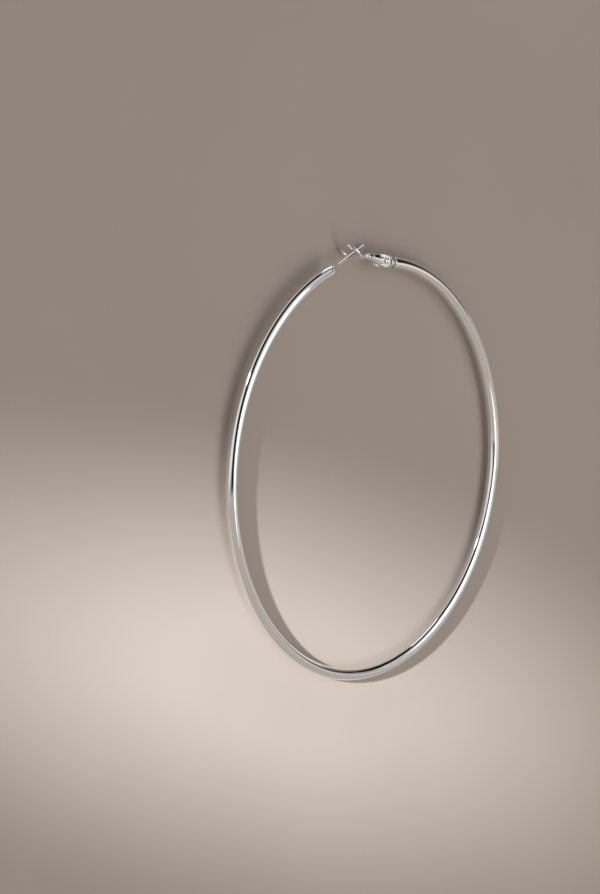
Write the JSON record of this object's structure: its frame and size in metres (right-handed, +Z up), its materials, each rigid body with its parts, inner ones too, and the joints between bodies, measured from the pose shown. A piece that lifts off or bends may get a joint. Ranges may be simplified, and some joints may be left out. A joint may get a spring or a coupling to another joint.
{
  "type": "hoop earring",
  "caption": "Large round hoop earring of polished silver tube, with a straight ear post on one end and a hinged lever whose open ring closes over it.",
  "frame": {"origin": "under the middle of the part's box, on the surface that the hoop lies on", "axes": "+Z up, within one degree of the hoop's own axis; +Y from the hoop's centre towards the clasp; +X towards the hinged end"},
  "size_m": [0.089, 0.0914, 0.0052],
  "materials": {
    "polished_silver": "mirror polish",
    "stamped_silver": "tumbled polish, slightly softer than the tube"
  },
  "bodies": {
    "hoop": {"hoop_tube": "polished_silver", "ear_post": "polished_silver", "hinge_fitting": "polished_silver", "hinge_rivet": "stamped_silver"},
    "lever": {"latch_lever": "stamped_silver"}
  },
  "joints": [
    {"name": "lever_hinge", "type": "hinge", "parent": "hoop", "child": "lever", "pos_m": [0.00565, 0.04099, 0.00256], "axis": [0, 0.0154, -0.9999], "range_deg": [0, 90]}
  ]
}
